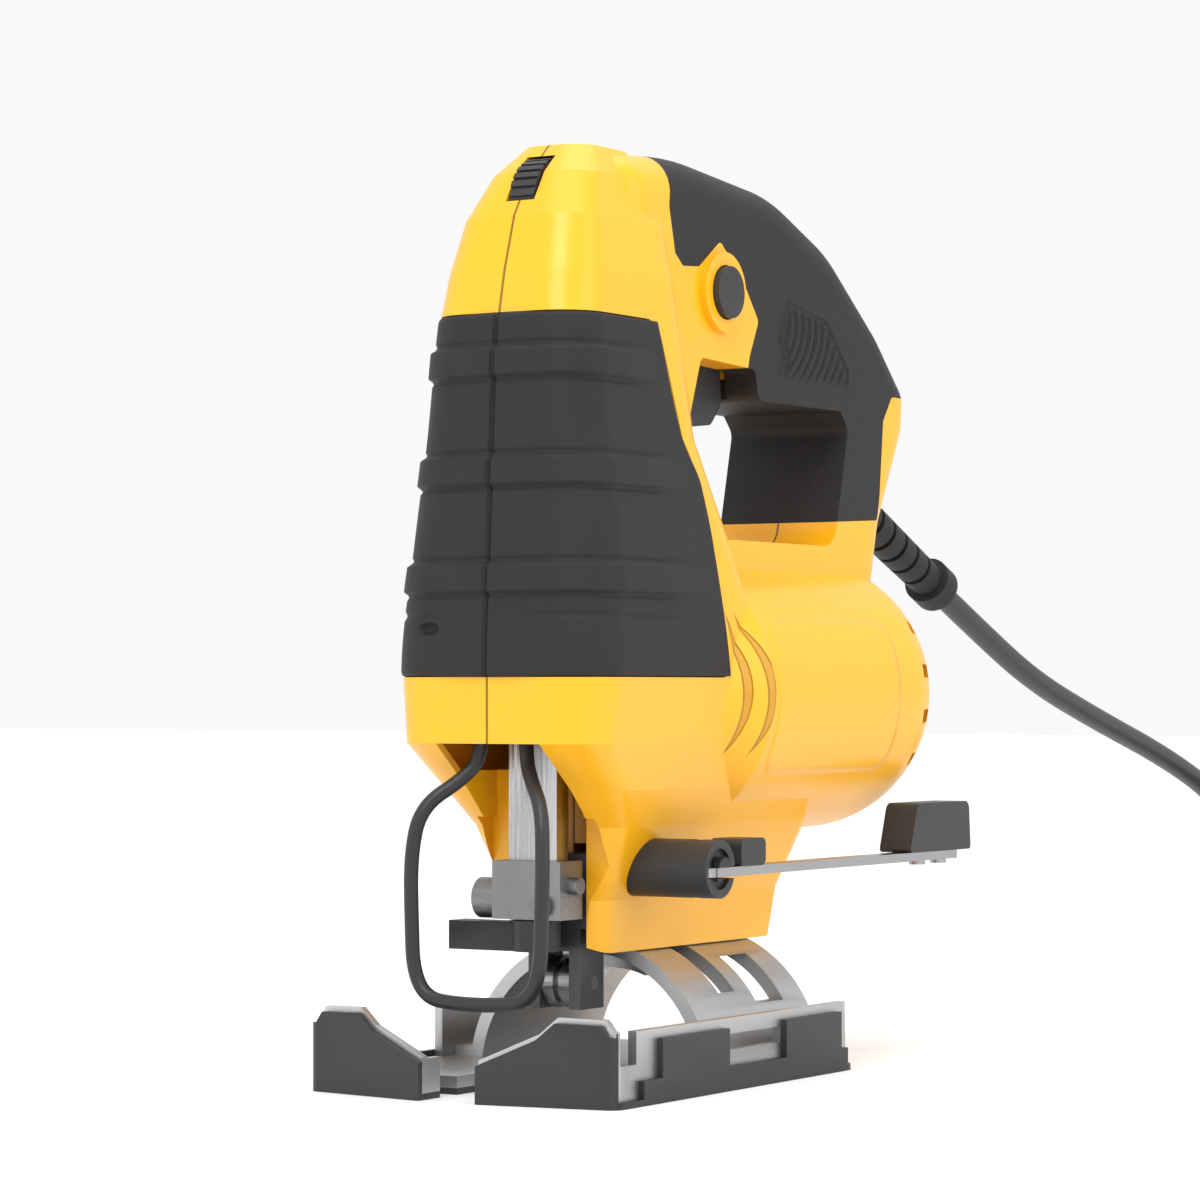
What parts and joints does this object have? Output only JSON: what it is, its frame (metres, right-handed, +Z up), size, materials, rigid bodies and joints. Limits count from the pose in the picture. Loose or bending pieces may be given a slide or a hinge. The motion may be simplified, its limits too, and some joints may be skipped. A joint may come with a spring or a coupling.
{
  "type": "corded jigsaw",
  "caption": "Corded D-handle jigsaw with wire finger guard, quick blade clamp, tilting shoe on an arched saddle, bevel lever and a mains lead.",
  "frame": {"origin": "where the blade line meets the plane of the sole", "axes": "+Z up from the sole along the blade, -Y to the front where the saw cuts, +X to the tool's left"},
  "size_m": [0.1265, 0.5079, 0.203],
  "materials": {
    "yellow_housing": "satin moulded ABS",
    "soft_overmould": "matt soft elastomer",
    "black_plastic": "fine spark texture",
    "cast_shoe": "blasted and clear coated",
    "steel": "ground",
    "blackened_steel": "black oxide",
    "cast_metal": "as cast",
    "copper": "enamelled wire",
    "laminations": "stacked sheet",
    "carbon": "pressed carbon",
    "brass": "stamped",
    "board": "lacquered board",
    "lead_sheath": "smooth rubber sheath",
    "sintered": "oil-filled sintered bronze"
  },
  "bodies": {
    "root": {"left_housing": "yellow_housing", "right_housing": "yellow_housing", "left_handle_cover": "soft_overmould", "right_handle_cover": "soft_overmould", "left_front_boot": "soft_overmould", "right_front_boot": "soft_overmould", "housing_screws": "blackened_steel", "upper_plunger_bush": "sintered", "lower_plunger_bush": "sintered", "gear_plate": "cast_metal", "gear_pin": "steel", "bearing_outer_races": "steel", "field_core": "laminations", "field_coils": "copper", "carbon_brushes": "carbon", "brush_holders": "brass", "roller_fork": "blackened_steel", "roller_axle": "steel", "guard_wire": "blackened_steel", "bevel_hub": "black_plastic", "lever_pivot_pin": "steel", "bevel_clamp_bolt": "steel", "bevel_clamp_shoe": "steel", "speed_control_board": "board", "trigger_pin": "steel", "trigger_switch": "black_plastic", "trigger_spring": "steel", "strain_relief": "lead_sheath", "cord_clamp": "black_plastic", "power_cord": "lead_sheath", "cord_tail": "lead_sheath", "cord_coil": "lead_sheath", "mains_plug": "lead_sheath", "plug_pins": "steel"},
    "armature": {"armature_shaft": "steel", "armature_core": "laminations", "armature_windings": "copper", "commutator": "copper", "cooling_fan": "black_plastic", "bearing_inner_races": "steel"},
    "gear": {"drive_gear": "steel", "crank_pin": "steel"},
    "plunger": {"plunger_bar": "steel", "scotch_yoke": "steel", "blade_clamp_body": "steel", "clamp_sleeve": "steel", "clamp_screw": "steel", "blade_collet": "blackened_steel"},
    "clamp_lever": {"clamp_release_lever": "black_plastic"},
    "roller": {"guide_roller": "steel"},
    "shoe": {"shoe_plate": "cast_shoe", "shoe_cover": "black_plastic", "bevel_saddle": "cast_shoe"},
    "bevel_lever": {"bevel_lever_strip": "blackened_steel", "bevel_lever_head": "black_plastic", "bevel_lever_grip": "black_plastic", "lever_rivets": "steel"},
    "trigger": {"trigger": "black_plastic"},
    "lock_button": {"lock_on_button": "black_plastic"},
    "dial": {"speed_dial": "black_plastic"}
  },
  "joints": [
    {"name": "armature_spin", "type": "hinge", "parent": "root", "child": "armature", "pos_m": [0, 0.085, 0.0845], "axis": [0, 1, 0], "continuous": true},
    {"name": "gear_spin", "type": "hinge", "parent": "root", "child": "gear", "pos_m": [0, 0.0275, 0.1053], "axis": [0, 1, 0], "continuous": true},
    {"name": "ram_stroke", "type": "slide", "parent": "root", "child": "plunger", "axis": [0, 0, 1], "range_m": [-0.0095, 0.0095]},
    {"name": "clamp_release", "type": "hinge", "parent": "plunger", "child": "clamp_lever", "pos_m": [0, -0.001, 0.033], "axis": [0, 0, 1], "range_deg": [0, 55], "stiffness_Nm_per_rad": 0.03, "springref_deg": -11.46},
    {"name": "roller_spin", "type": "hinge", "parent": "root", "child": "roller", "pos_m": [0, 0.012, 0.022], "axis": [1, 0, 0], "continuous": true},
    {"name": "shoe_bevel", "type": "hinge", "parent": "root", "child": "shoe", "pos_m": [0, 0, 0], "axis": [0, 1, 0], "range_deg": [-45, 45]},
    {"name": "bevel_lever_swing", "type": "hinge", "parent": "root", "child": "bevel_lever", "pos_m": [0.0292, 0.0178, 0.0462], "axis": [0, 0, -1], "range_deg": [0, 80]},
    {"name": "trigger_pull", "type": "hinge", "parent": "root", "child": "trigger", "pos_m": [0, 0.042, 0.1635], "axis": [1, 0, 0], "range_deg": [0, 10], "stiffness_Nm_per_rad": 0.5, "springref_deg": -8.59},
    {"name": "lock_button_press", "type": "slide", "parent": "root", "child": "lock_button", "axis": [-1, 0, 0], "range_m": [0, 0.003], "stiffness_N_per_m": 300, "springref_m": -0.002},
    {"name": "speed_dial_turn", "type": "hinge", "parent": "root", "child": "dial", "pos_m": [0, 0.0032, 0.1891], "axis": [1, 0, 0], "range_deg": [-150, 150]}
  ],
  "couplings": [
    {"joint": "gear_spin", "follows": "armature_spin", "ratio": -0.18182}
  ]
}
